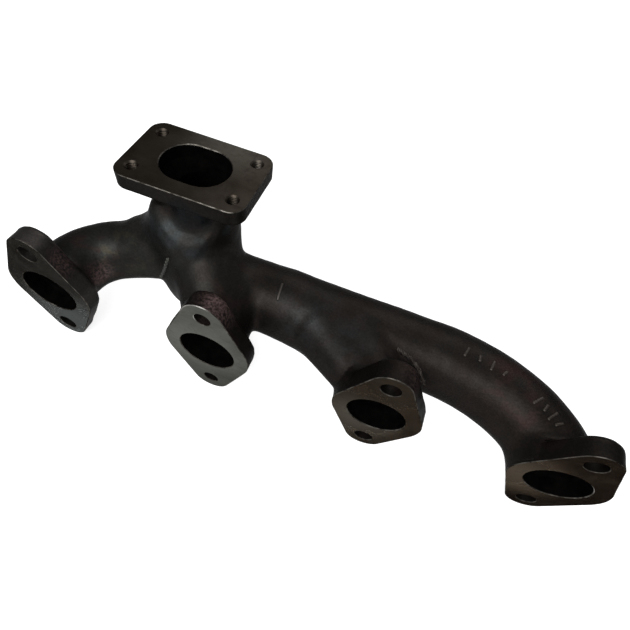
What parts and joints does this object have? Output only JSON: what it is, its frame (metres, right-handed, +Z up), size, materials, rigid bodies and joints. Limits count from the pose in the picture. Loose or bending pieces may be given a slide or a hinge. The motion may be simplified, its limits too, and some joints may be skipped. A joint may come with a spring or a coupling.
{
  "type": "exhaust manifold",
  "caption": "Cast-iron log exhaust manifold: flanged round inlets along one side feed a hollow log that rises into an oval outlet under a rectangular turbocharger flange.",
  "frame": {"origin": "centre of port 1 on the machined head face", "axes": "+X along the log from port 1 to port 4, -Y out of the head face towards the cylinder head, +Z up out of the turbo flange"},
  "size_m": [0.421, 0.0993, 0.143],
  "materials": {
    "cast_skin": "rough sand-cast skin",
    "machined_iron": "milled flange faces on cast sides"
  },
  "bodies": {
    "root": {"port_flange_1": "machined_iron", "port_flange_2": "machined_iron", "port_flange_3": "machined_iron", "port_flange_4": "machined_iron", "runner_1": "cast_skin", "runner_2": "cast_skin", "runner_3": "cast_skin", "runner_4": "cast_skin", "collector": "cast_skin", "log_left": "cast_skin", "log_right": "cast_skin", "turbo_neck": "cast_skin", "mark_log": "cast_skin", "mark_inner": "cast_skin", "mark_outer": "cast_skin", "turbo_flange": "machined_iron"}
  },
  "joints": []
}
